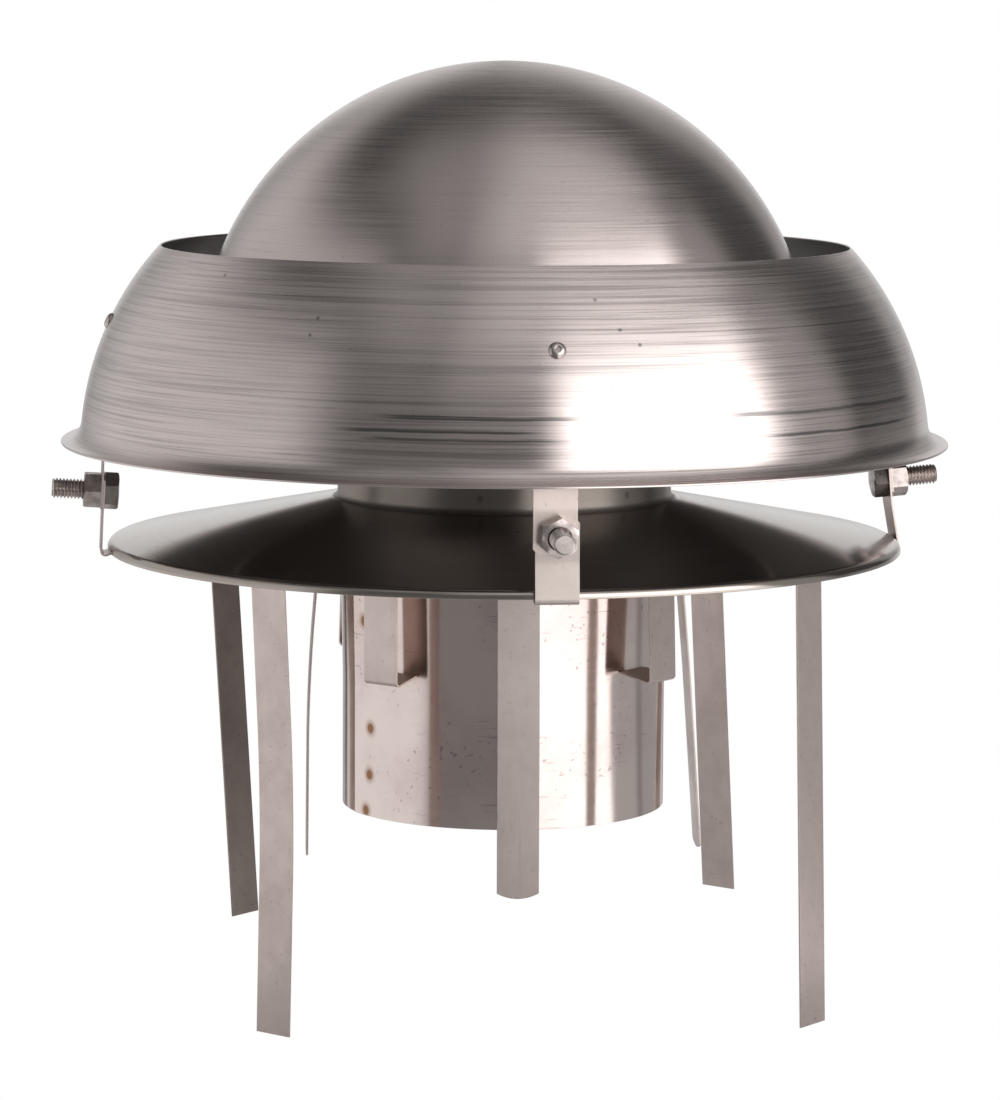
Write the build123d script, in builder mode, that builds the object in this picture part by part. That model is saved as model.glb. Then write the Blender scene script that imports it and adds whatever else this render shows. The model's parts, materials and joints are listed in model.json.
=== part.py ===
from build123d import *
from math import acos, asin, atan2, cos, degrees, hypot, radians, sin, sqrt, tan
from typing import NamedTuple
import os

# A stainless steel chimney cowl. A dome stands inside a spun hood ring, and both are
# carried on four bolted strip brackets above a shallow skirt. A rolled spigot hangs
# from the skirt's neck, with standoffs, short straps and long straps around it.
# Millimetres, +Z up, origin on the axis at the level of the longest strap's foot.
# An azimuth is measured from the front, -Y, towards the right, +X.

# Stock
sheet = 0.9
strip_width = 19.0
strip_thick = 0.9
fold_radius = 1.5
soft_bend_radius = 24.0
touch_gap = 0.02

# Skirt: a shallow cone with a drawn-up neck and a rim turned down, its radius the rim's outside
skirt_rim_radius = 183.7
skirt_rim_height = 201.6
skirt_rim_turn = 2.75
skirt_rim_fillet = 2.5
skirt_slope = 10.8
neck_height = 21.2
neck_fillet = 3.0

# Spigot: rolled sheet, straight at its foot and opened out to fill the neck
spigot_wall = 0.8
spigot_radius = 75.0
spigot_drop = 120.0
spigot_straight = 62.0
spigot_flare = 1.45
neck_clearance = 0.05

# Lap seam: the outer end of the rolled sheet, dressed down on the wall under it
lap_azimuth = -71.0
lap_width = 20.0
lap_bite = 0.4
lap_below_neck = 4.0

# Hood ring: an arc in section, with a lip rolled out at its mouth, its radii set from the skirt's rim
hood_gap = 49.5
hood_height = 90.4
hood_top_inset = 24.9
hood_mouth_overhang = 21.0
hood_curve_radius = 140.3
lip_radius = 9.5
rivet_rise = 56.0

# Dome: a hemisphere with a short straight edge
dome_radius = 142.1
dome_above_hood = 84.3
dome_edge = 6.0

# Brackets: two lapped strips at each clamp, one from the skirt and one from the hood
clamp_lap = 8.0
clamp_reach = 11.0
clamp_corner = 2.5
skirt_flange = 26.0
flange_below_rim = 0.8
rivet_flat = 9.0
dome_tab_drop = 36.7
dome_tab_length = 18.0

# Bolts and nuts
bolt_diameter = 9.3
bolt_hole_clearance = 0.35
bolt_length = 24.0
bolt_tip_chamfer = 0.9
hexagon_flats = 15.24
hexagon_chamfer = 30.0
bolt_head_height = 6.5
nut_height = 7.7
thread_clearance = 0.05

# Blind rivets
rivet_diameter = 4.8
rivet_hole_clearance = 0.05
rivet_head_diameter = 7.8
rivet_head_height = 1.8
rivet_bulge_diameter = 6.6
rivet_bulge_length = 2.6
rivet_bore = 2.9
rivet_bore_depth = 0.8

# Standoffs between the skirt and the spigot
standoff_reach = 15.0
standoff_drop = 55.7
standoff_leg_slope = 14.0
standoff_flange = 22.0

# Straps
short_strap_flange = 19.0
short_strap_bulge = 2.5
long_strap_flange = 21.0
strap_bow_radius = 900.0


class Clamp(NamedTuple):
    """A bracket's place past the rim, its strips' meeting place, lean and sidestep, and the hexagons' turns."""

    azimuth: float
    rim_clearance: float
    outset: float
    rise: float
    lean: float
    sidestep: float
    head_turn: float
    nut_turn: float


class Standoff(NamedTuple):
    """A standoff's azimuth and how far its foot is splayed out."""

    azimuth: float
    splay: float


class Strap(NamedTuple):
    """How far a strap's outer face stands off at its fold, middle and foot, and its foot's height."""

    azimuth: float
    top: float
    middle: float
    foot: float
    foot_height: float


clamps = {
    "front": Clamp(0.0, 2.9, 2.8, 27.5, -2.0, 1.1, 8.0, 24.0),
    "right": Clamp(90.0, 1.2, -2.7, 30.1, 5.0, 0.0, 10.0, 25.0),
    "back": Clamp(180.0, 2.9, 1.8, 27.5, 3.0, 0.0, 20.0, 12.0),
    "left": Clamp(270.0, 2.9, 2.2, 27.5, 3.5, 0.0, 20.0, 0.0),
}
standoffs = {
    "front_left": Standoff(-45.0, 0.0),
    "front_right": Standoff(45.0, 2.3),
    "back_right": Standoff(135.0, 0.5),
    "back_left": Standoff(225.0, 2.8),
}

# Short straps stand out from the spigot, and long straps in from the skirt's rim
short_straps = {
    "front": Strap(-2.3, 5.8, 11.0, 12.0, 52.4),
    "right": Strap(90.0, 5.0, 12.2, 18.0, 57.6),
    "back": Strap(180.0, 8.2, 12.4, 14.2, 54.6),
    "left": Strap(267.0, 9.6, 16.6, 17.2, 56.1),
}
long_straps = {
    "front_left": Strap(-45.0, 16.7, 23.1, 19.9, 0.0),
    "front_right": Strap(45.0, 12.9, 10.2, 7.3, 0.9),
    "back_right": Strap(135.0, 23.7, 15.6, 6.7, 11.6),
    "back_left": Strap(225.0, 6.7, 14.5, 22.0, 5.1),
}

# Heights, radii and angles that follow from the sizes above
slope = radians(skirt_slope)
neck_bore = spigot_radius + spigot_flare + neck_clearance
skirt_corner_height = skirt_rim_height + skirt_rim_turn
neck_foot_height = skirt_corner_height + (skirt_rim_radius - neck_bore) * tan(slope)
neck_top_height = neck_foot_height + neck_height
spigot_foot_height = skirt_rim_height - spigot_drop
spigot_shoulder_height = spigot_foot_height + spigot_straight
spigot_top_radius = spigot_radius + spigot_flare
lap_end_azimuth = lap_azimuth + degrees(lap_width / spigot_radius)
lap_middle_azimuth = (lap_azimuth + lap_end_azimuth) / 2
lap_top_height = neck_foot_height - lap_below_neck
hood_top_radius = skirt_rim_radius - hood_top_inset
hood_mouth_radius = skirt_rim_radius + hood_mouth_overhang
hood_lip_height = skirt_rim_height + hood_gap
hood_top_height = hood_lip_height + hood_height
dome_centre_height = hood_top_height + dome_above_hood - dome_radius
dome_tab_angle = asin((hood_top_height - dome_tab_drop - dome_centre_height) / dome_radius)
rivet_height = hood_lip_height + rivet_rise
standoff_radius = spigot_radius + standoff_reach
standoff_foot_height = skirt_rim_height - standoff_drop
outer_fold_radius = fold_radius + strip_thick
bolt_hole_radius = bolt_diameter / 2 + bolt_hole_clearance
rivet_hole_radius = rivet_diameter / 2 + rivet_hole_clearance
hexagon_spread = 1 / tan(radians(hexagon_chamfer))
short_strap_end = ((strip_width / 2) ** 2 + short_strap_bulge**2) / (2 * short_strap_bulge)


def heading(angle):
    """The unit direction in a section at an angle in radians above the outward one."""
    return cos(angle), sin(angle)


def shifted(point, along, distance):
    """A section point moved along a unit direction."""
    return point[0] + along[0] * distance, point[1] + along[1] * distance


def circle_meeting(first, first_radius, second, second_radius):
    """The point where two circles meet, on the left of the way from the first centre to the second."""
    across, up = second[0] - first[0], second[1] - first[1]
    apart = hypot(across, up)
    turn = acos((first_radius**2 + apart**2 - second_radius**2) / (2 * first_radius * apart))
    return shifted(first, heading(atan2(up, across) + turn), first_radius)


def line_meeting(first, first_along, second, second_along):
    """The point where two section lines cross."""
    cross = first_along[0] * second_along[1] - first_along[1] * second_along[0]
    across, up = second[0] - first[0], second[1] - first[1]
    return shifted(first, first_along, (across * second_along[1] - up * second_along[0]) / cross)


def polar(radius, azimuth):
    """The plan point at a radius and an azimuth."""
    turn = radians(azimuth)
    return radius * sin(turn), -radius * cos(turn)


def radial_plane(azimuth):
    """The upright plane through the axis at an azimuth: its x runs outwards and its y runs up."""
    turn = radians(azimuth)
    return Plane(origin=(0, 0, 0), x_dir=(sin(turn), -cos(turn), 0), z_dir=(-cos(turn), -sin(turn), 0))


def facing_plane(azimuth, point, rise):
    """The plane at a section point that faces outwards, and up by the rise in radians."""
    upright = radial_plane(azimuth)
    normal = upright.x_dir * cos(rise) + upright.y_dir * sin(rise)
    return Plane(origin=upright.from_local_coords(point), x_dir=-upright.z_dir, z_dir=normal)


def flange_top(inner_radius, radius):
    """The height at a radius of a flange's flat top, whose inner corners meet the round slope first."""
    corner = hypot(inner_radius, strip_width / 2)
    seat = skirt_corner_height + (skirt_rim_radius - corner) * tan(slope) - touch_gap / cos(slope)
    return seat - (radius - inner_radius) * tan(slope)


def spigot_outside(height):
    """The spigot's outer radius at a height below the neck."""
    opened = (height - spigot_shoulder_height) / (neck_foot_height - spigot_shoulder_height)
    return spigot_radius + (spigot_top_radius - spigot_radius) * max(opened, 0)


def corner_edges(edges, end):
    """The two short edges through a strip's thickness at the end nearest a point."""
    through = edges.filter_by(lambda edge: abs(edge.length - strip_thick) < touch_gap)
    return through.sort_by_distance(end)[:2]


# The hood ring's section, and the place and direction of its rivets
hood_top = (hood_top_radius, hood_top_height)
lip_centre = (hood_mouth_radius, hood_lip_height + sheet + lip_radius)
hood_centre = circle_meeting(lip_centre, lip_radius + hood_curve_radius, hood_top, hood_curve_radius)
hood_top_angle = degrees(atan2(hood_top[1] - hood_centre[1], hood_top[0] - hood_centre[0]))
hood_foot_angle = degrees(atan2(lip_centre[1] - hood_centre[1], lip_centre[0] - hood_centre[0]))
rivet_angle = asin((rivet_height - hood_centre[1]) / hood_curve_radius)
rivet_out = heading(rivet_angle)
rivet_up = heading(rivet_angle + radians(90))
rivet_point = shifted(hood_centre, rivet_out, hood_curve_radius)

# A flat strip stands off the ring's round inside by the sagitta across it and along it
hood_inside = hood_curve_radius - sheet
rivet_inside = rivet_point[0] - sheet * rivet_out[0]
seat_across = rivet_inside - sqrt(rivet_inside**2 - (strip_width / 2) ** 2)
seat_along = hood_inside - sqrt(hood_inside**2 - rivet_flat**2)
strip_seat = seat_across + seat_along + touch_gap
rivet_grip = sheet + strip_seat + strip_thick + touch_gap

os.makedirs("parts", exist_ok=True)

# Dome
with BuildPart() as dome:
    with BuildSketch(Plane.XZ):
        with BuildLine():
            cap = CenterArc((0, dome_centre_height), dome_radius, 90, -90)
            Line(cap @ 1, (dome_radius, dome_centre_height - dome_edge))
            offset(amount=sheet, side=Side.RIGHT)
        make_face()
    revolve(axis=Axis.Z)
dome.part.label = "dome"
export_step(dome.part, "parts/dome.step")

# Hood ring, with a rivet hole over each bracket
with BuildPart() as hood_ring:
    with BuildSketch(Plane.XZ):
        with BuildLine():
            CenterArc(hood_centre, hood_curve_radius, hood_top_angle, hood_foot_angle - hood_top_angle)
            CenterArc(lip_centre, lip_radius, 180 + hood_foot_angle, 90 - hood_foot_angle)
            offset(amount=sheet, side=Side.RIGHT)
        make_face()
    revolve(axis=Axis.Z)
    for clamp in clamps.values():
        with BuildSketch(facing_plane(clamp.azimuth, rivet_point, rivet_angle)):
            Circle(rivet_hole_radius)
        extrude(amount=strip_width / 2, both=True, mode=Mode.SUBTRACT)
hood_ring.part.label = "hood_ring"
export_step(hood_ring.part, "parts/hood_ring.step")

# Skirt
with BuildPart() as skirt:
    with BuildSketch(Plane.XZ):
        with BuildLine():
            FilletPolyline(
                (skirt_rim_radius - sheet, skirt_rim_height),
                (skirt_rim_radius - sheet, skirt_corner_height + sheet * tan(slope)),
                (neck_bore, neck_foot_height),
                (neck_bore, neck_top_height),
                radius=[skirt_rim_fillet, neck_fillet + sheet],
            )
            offset(amount=sheet, side=Side.RIGHT)
        make_face()
    revolve(axis=Axis.Z)
skirt.part.label = "skirt"
export_step(skirt.part, "parts/skirt.step")

# Spigot: the round wall, then the lap on its outside, straight and then opened out with the wall
with BuildPart() as spigot:
    with BuildSketch(Plane.XZ):
        with BuildLine():
            Polyline(
                (spigot_radius, spigot_foot_height),
                (spigot_radius, spigot_shoulder_height),
                (spigot_top_radius, neck_foot_height),
                (spigot_top_radius, neck_top_height),
            )
            offset(amount=spigot_wall, side=Side.LEFT, kind=Kind.INTERSECTION)
        make_face()
    revolve(axis=Axis.Z)
    lap_heights = (spigot_foot_height, spigot_shoulder_height, lap_top_height)
    for low, high in zip(lap_heights, lap_heights[1:]):
        for height in (low, high):
            wall = spigot_outside(height)
            with BuildSketch(Plane.XY.offset(height)):
                with BuildLine():
                    outside = ThreePointArc(
                        polar(wall + spigot_wall, lap_azimuth),
                        polar(wall + (spigot_wall - lap_bite) / 2, lap_middle_azimuth),
                        polar(wall - lap_bite / 2, lap_end_azimuth),
                    )
                    inside = ThreePointArc(
                        polar(wall - lap_bite, lap_end_azimuth),
                        polar(wall - lap_bite, lap_middle_azimuth),
                        polar(wall - lap_bite, lap_azimuth),
                    )
                    Line(outside @ 1, inside @ 0)
                    Line(inside @ 1, outside @ 0)
                make_face()
        loft(ruled=True)
spigot.part.label = "spigot"
export_step(spigot.part, "parts/spigot.step")

for place, clamp in clamps.items():
    # The clamp's middle on the face where its strips meet, the directions along them and out of them
    upright = radial_plane(clamp.azimuth)
    lean = radians(clamp.lean)
    clamp_out = heading(lean)
    clamp_up = heading(lean + radians(90))
    clamp_middle = (skirt_rim_radius + clamp.outset, skirt_rim_height + clamp.rise)
    clamp_face = facing_plane(clamp.azimuth, clamp_middle, lean)
    rivet_face = facing_plane(clamp.azimuth, rivet_point, rivet_angle)

    # Hood bracket: its outer face up from the clamp, along the ring, level inwards and down on the dome
    clamp_outer = shifted(clamp_middle, clamp_out, strip_thick)
    hood_end = shifted(clamp_outer, clamp_up, -clamp_lap)
    riveted = shifted(rivet_point, rivet_out, -sheet - strip_seat)
    arm_start = shifted(riveted, rivet_up, rivet_flat)
    tab_middle = shifted((0, dome_centre_height), heading(dome_tab_angle), dome_radius + touch_gap)
    tab_down = heading(dome_tab_angle - radians(90))
    arm_end = line_meeting(arm_start, heading(0), tab_middle, tab_down)
    with BuildPart() as hood_bracket:
        with BuildSketch(upright.offset(clamp.sidestep)):
            with BuildLine():
                FilletPolyline(
                    hood_end,
                    shifted(clamp_outer, clamp_up, clamp_reach),
                    shifted(riveted, rivet_up, -rivet_flat),
                    arm_start,
                    arm_end,
                    shifted(arm_end, tab_down, dome_tab_length),
                    radius=[soft_bend_radius, soft_bend_radius, outer_fold_radius, outer_fold_radius],
                )
                offset(amount=strip_thick, side=Side.LEFT)
            make_face()
        extrude(amount=strip_width / 2, both=True)
        corners = corner_edges(hood_bracket.edges(), upright.from_local_coords(hood_end))
        chamfer(corners, length=clamp_corner)
        with BuildSketch(clamp_face):
            Circle(bolt_hole_radius)
        extrude(amount=2 * strip_thick, both=True, mode=Mode.SUBTRACT)
        with BuildSketch(rivet_face):
            Circle(rivet_hole_radius)
        extrude(amount=strip_width / 2, both=True, mode=Mode.SUBTRACT)
    hood_bracket.part.label = f"hood_bracket_{place}"
    export_step(hood_bracket.part, f"parts/hood_bracket_{place}.step")

    # Skirt bracket: its lower face out from the cone and under the rim, then its outer face up past the rim
    skirt_end = shifted(clamp_middle, clamp_up, clamp_lap)
    skirt_fold_radius = skirt_rim_radius + clamp.rim_clearance + strip_thick
    flange_start = skirt_fold_radius - skirt_flange
    flange_seat = flange_top(flange_start, flange_start)
    flange_fall = (flange_seat - skirt_rim_height + flange_below_rim) / (skirt_rim_radius - flange_start)
    underside = strip_thick * hypot(1, flange_fall)
    with BuildPart() as skirt_bracket:
        with BuildSketch(upright):
            with BuildLine():
                FilletPolyline(
                    (flange_start, flange_seat - underside),
                    (skirt_fold_radius, flange_seat - skirt_flange * flange_fall - underside),
                    shifted(clamp_middle, clamp_up, -clamp_reach),
                    skirt_end,
                    radius=[outer_fold_radius, soft_bend_radius],
                )
                offset(amount=strip_thick, side=Side.LEFT)
            make_face()
        extrude(amount=strip_width / 2, both=True)
        corners = corner_edges(skirt_bracket.edges(), upright.from_local_coords(skirt_end))
        chamfer(corners, length=clamp_corner)
        with BuildSketch(clamp_face):
            Circle(bolt_hole_radius)
        extrude(amount=2 * strip_thick, both=True, mode=Mode.SUBTRACT)
    skirt_bracket.part.label = f"skirt_bracket_{place}"
    export_step(skirt_bracket.part, f"parts/skirt_bracket_{place}.step")

    # Bolt: its head inside, its shank out through both strips
    under_head = clamp_face.offset(-strip_thick)
    head_face = Plane(origin=under_head.origin, x_dir=under_head.x_dir, z_dir=-under_head.z_dir)
    with BuildPart() as clamp_bolt:
        with BuildSketch(head_face):
            RegularPolygon(hexagon_flats / 2, 6, major_radius=False, rotation=clamp.head_turn)
        extrude(amount=bolt_head_height)
        with Locations(head_face.offset(bolt_head_height / 2)):
            Cone(
                hexagon_flats / 2 + bolt_head_height * hexagon_spread,
                hexagon_flats / 2,
                bolt_head_height,
                mode=Mode.INTERSECT,
            )
        with BuildSketch(under_head):
            Circle(bolt_diameter / 2)
        extrude(amount=bolt_length)
        tip = clamp_bolt.faces().sort_by_distance(under_head.offset(bolt_length).origin)[0]
        chamfer(tip.edges(), length=bolt_tip_chamfer)
    clamp_bolt.part.label = f"clamp_bolt_{place}"
    export_step(clamp_bolt.part, f"parts/clamp_bolt_{place}.step")

    # Nut: on the outer strip
    nut_face = clamp_face.offset(strip_thick)
    with BuildPart() as clamp_nut:
        with BuildSketch(nut_face):
            RegularPolygon(hexagon_flats / 2, 6, major_radius=False, rotation=clamp.nut_turn)
            Circle(bolt_diameter / 2 + thread_clearance, mode=Mode.SUBTRACT)
        extrude(amount=nut_height)
        with Locations(nut_face.offset(nut_height / 2)):
            Cone(
                hexagon_flats / 2 + nut_height * hexagon_spread,
                hexagon_flats / 2,
                nut_height,
                mode=Mode.INTERSECT,
            )
    clamp_nut.part.label = f"clamp_nut_{place}"
    export_step(clamp_nut.part, f"parts/clamp_nut_{place}.step")

    # Ring rivet: a low domed head outside, the shank, and the bulge behind the strip
    rivet_section = Plane(origin=rivet_face.origin, x_dir=rivet_face.x_dir, z_dir=rivet_face.y_dir)
    rivet_end = rivet_grip + rivet_bulge_length
    with BuildPart() as ring_rivet:
        with BuildSketch(rivet_section):
            with BuildLine():
                Polyline(
                    (0, rivet_end),
                    (0, rivet_bore_depth - rivet_head_height),
                    (rivet_bore / 2, rivet_bore_depth - rivet_head_height),
                    (rivet_bore / 2, -rivet_head_height),
                )
                ThreePointArc(
                    (rivet_bore / 2, -rivet_head_height),
                    ((rivet_bore + rivet_head_diameter) / 4, -rivet_head_height * cos(radians(35))),
                    (rivet_head_diameter / 2, -touch_gap),
                )
                Polyline(
                    (rivet_head_diameter / 2, -touch_gap),
                    (rivet_diameter / 2, -touch_gap),
                    (rivet_diameter / 2, rivet_grip),
                )
                ThreePointArc(
                    (rivet_diameter / 2, rivet_grip),
                    (rivet_bulge_diameter / 2, rivet_grip + rivet_bulge_length / 2),
                    (rivet_diameter / 2, rivet_end),
                )
                Line((rivet_diameter / 2, rivet_end), (0, rivet_end))
            make_face()
        revolve(axis=Axis(rivet_face.origin, rivet_face.z_dir))
    ring_rivet.part.label = f"ring_rivet_{place}"
    export_step(ring_rivet.part, f"parts/ring_rivet_{place}.step")

# Standoffs: the flange's lower face inwards, the plate's outer face down, then in and up to the spigot
for place, stand in standoffs.items():
    leg = radians(standoff_leg_slope)
    flange_end = standoff_radius + standoff_flange
    flange_fold = standoff_radius - strip_thick
    foot_radius = standoff_radius + stand.splay
    meeting_height = standoff_foot_height + (foot_radius - spigot_radius) * tan(leg)
    spigot_side = spigot_outside(meeting_height) + touch_gap
    leg_rise = (foot_radius - spigot_side) * tan(leg)
    underside = strip_thick / cos(slope)
    with BuildPart() as standoff:
        with BuildSketch(radial_plane(stand.azimuth)):
            with BuildLine():
                FilletPolyline(
                    (flange_end, flange_top(flange_fold, flange_end) - underside),
                    (standoff_radius, flange_top(flange_fold, standoff_radius) - underside),
                    (foot_radius, standoff_foot_height),
                    (spigot_side, standoff_foot_height + leg_rise),
                    radius=[fold_radius, outer_fold_radius],
                )
                offset(amount=strip_thick, side=Side.RIGHT)
            make_face()
        extrude(amount=strip_width / 2, both=True)
    standoff.part.label = f"standoff_{place}"
    export_step(standoff.part, f"parts/standoff_{place}.step")

# Short straps: the flange's lower face inwards, then the outer face down to a shallow round end
for place, strap in short_straps.items():
    top, middle, foot = (spigot_radius + out for out in strap[1:4])
    flange_end = top + short_strap_flange
    flange_fold = top - strip_thick
    underside = strip_thick / cos(slope)
    strap_top_height = flange_top(flange_fold, top) - underside
    with BuildPart() as short_strap:
        with BuildSketch(radial_plane(strap.azimuth)):
            with BuildLine():
                FilletPolyline(
                    (flange_end, flange_top(flange_fold, flange_end) - underside),
                    (top, strap_top_height),
                    (middle, (strap_top_height + strap.foot_height) / 2),
                    (foot, strap.foot_height),
                    radius=[fold_radius, strap_bow_radius],
                )
                offset(amount=strip_thick, side=Side.RIGHT)
            make_face()
        extrude(amount=strip_width / 2, both=True)
        with BuildSketch(facing_plane(strap.azimuth, (foot, strap.foot_height), 0)):
            Rectangle(2 * strip_width, 2 * short_strap_bulge)
            with Locations((0, short_strap_end)):
                Circle(short_strap_end, mode=Mode.SUBTRACT)
        extrude(amount=strip_width / 2, both=True, mode=Mode.SUBTRACT)
    short_strap.part.label = f"short_strap_{place}"
    export_step(short_strap.part, f"parts/short_strap_{place}.step")

# Long straps: the flange's top face outwards under the skirt, then the outer face down to a square end
for place, strap in long_straps.items():
    top, middle, foot = (skirt_rim_radius - inset for inset in strap[1:4])
    flange_start = top - long_strap_flange
    strap_top_height = flange_top(flange_start, top)
    with BuildPart() as long_strap:
        with BuildSketch(radial_plane(strap.azimuth)):
            with BuildLine():
                FilletPolyline(
                    (flange_start, flange_top(flange_start, flange_start)),
                    (top, strap_top_height),
                    (middle, (strap_top_height + strap.foot_height) / 2),
                    (foot, strap.foot_height),
                    radius=[outer_fold_radius, strap_bow_radius],
                )
                offset(amount=strip_thick, side=Side.RIGHT)
            make_face()
        extrude(amount=strip_width / 2, both=True)
    long_strap.part.label = f"long_strap_{place}"
    export_step(long_strap.part, f"parts/long_strap_{place}.step")
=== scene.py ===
"""Chimney cowl in stainless steel: its finishes, threads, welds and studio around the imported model.

The dome, hood ring and skirt are spun sheet, the spigot is rolled, and everything else is flat strip,
bolts, nuts and blind rivets. Everything is in metres, +Z up, with the front at -Y.
"""

from __future__ import annotations

import json
import logging
import math
from dataclasses import dataclass
from enum import Enum
from typing import Any, ClassVar, NamedTuple, Sequence, Union

import bmesh
import bpy
from mathutils import Matrix, Vector

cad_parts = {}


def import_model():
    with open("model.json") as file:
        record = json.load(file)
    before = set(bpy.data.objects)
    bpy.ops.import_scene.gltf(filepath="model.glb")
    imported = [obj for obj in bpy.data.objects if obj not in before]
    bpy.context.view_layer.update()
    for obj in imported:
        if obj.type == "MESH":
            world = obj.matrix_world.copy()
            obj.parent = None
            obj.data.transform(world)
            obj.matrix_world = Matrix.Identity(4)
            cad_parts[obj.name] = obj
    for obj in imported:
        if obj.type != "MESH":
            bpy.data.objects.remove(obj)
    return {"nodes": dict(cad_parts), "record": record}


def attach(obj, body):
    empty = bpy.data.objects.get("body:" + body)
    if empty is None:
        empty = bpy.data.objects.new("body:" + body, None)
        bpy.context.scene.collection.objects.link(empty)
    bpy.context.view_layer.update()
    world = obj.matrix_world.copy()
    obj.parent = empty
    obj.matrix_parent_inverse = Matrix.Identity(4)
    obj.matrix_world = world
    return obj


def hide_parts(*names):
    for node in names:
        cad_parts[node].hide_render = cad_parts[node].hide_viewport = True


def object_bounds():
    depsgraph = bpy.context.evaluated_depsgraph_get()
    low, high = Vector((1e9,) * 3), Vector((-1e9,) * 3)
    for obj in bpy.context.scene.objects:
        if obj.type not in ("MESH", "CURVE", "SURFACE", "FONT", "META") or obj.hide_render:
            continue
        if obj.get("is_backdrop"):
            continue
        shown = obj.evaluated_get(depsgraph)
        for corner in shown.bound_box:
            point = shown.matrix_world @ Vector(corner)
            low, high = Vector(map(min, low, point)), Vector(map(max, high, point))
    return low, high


LOG = logging.getLogger("cowl")
BODY = "root"
SHEET = 0.0009
STRIP_THICK = 0.0009
DEGREES = 180.0 / math.pi

# Points closer than the first are one, and points closer than the second lie on the same face
MERGE = 0.000002
NEAR = MERGE * 10

# The share of a sheet's thickness that its edges are eased by, and the least cosine that a bend counts as
EDGE_EASE = 0.22
LEAST_LEAN = 0.5

# A hexagon's angle from corner to corner, its chamfer, and its flat face's radius over its width
HEXAGON_TURN = 60.0
CHAMFER = 30.0
FACE_SHARE = 0.47

# A noise value's mean, its octaves' roughness, and what keeps a division at the axis from failing
NOISE_MEAN = 0.5
NOISE_ROUGHNESS = 0.6
AXIS_GAP = 0.0001

# The turn at which reflections blur across the lines that run round the axis
BRUSHED_ROUND = 0.25

Colour = tuple[float, float, float]
Point = tuple[float, float, float]
Section = list[tuple[float, float]]


def compass(azimuth: float) -> Vector:
    """The level direction at an azimuth.

    Args:
        azimuth: degrees from the front, -Y, towards the right, +X.

    Returns:
        The unit vector.
    """
    turn = math.radians(azimuth)
    return Vector((math.sin(turn), -math.cos(turn), 0.0))


class Slot(Enum):
    """The record's material slots."""

    SPUN = "spun_steel"
    SPIGOT = "spigot_steel"
    STRIP = "strip_steel"
    FASTENER = "fastener_steel"
    RIVET = "rivet_steel"


class Wire:
    """A node socket's value, on which Python's arithmetic adds Math nodes."""

    def __init__(self, shader: Shader, socket: bpy.types.NodeSocket) -> None:
        """Keeps the socket and the shader that it belongs to."""
        self.shader = shader
        self.socket = socket

    def __add__(self, other: Number) -> Wire:
        """This plus the other."""
        return self.shader.maths("ADD", self, other)

    def __sub__(self, other: Number) -> Wire:
        """This less the other."""
        return self.shader.maths("SUBTRACT", self, other)

    def __rsub__(self, other: Number) -> Wire:
        """The other less this."""
        return self.shader.maths("SUBTRACT", other, self)

    def __mul__(self, other: Number) -> Wire:
        """This times the other."""
        return self.shader.maths("MULTIPLY", self, other)

    def __truediv__(self, other: Number) -> Wire:
        """This over the other."""
        return self.shader.maths("DIVIDE", self, other)


Number = Union[Wire, float, int]
Pattern = tuple[Wire, Wire, Wire, float]


class Ramp(NamedTuple):
    """A smooth step of a value.

    Attributes:
        low: where it is nothing.
        high: where it is full, which may be below low.
        amount: what it is worth where it is full.
    """

    low: float
    high: float
    amount: float = 1.0


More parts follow.
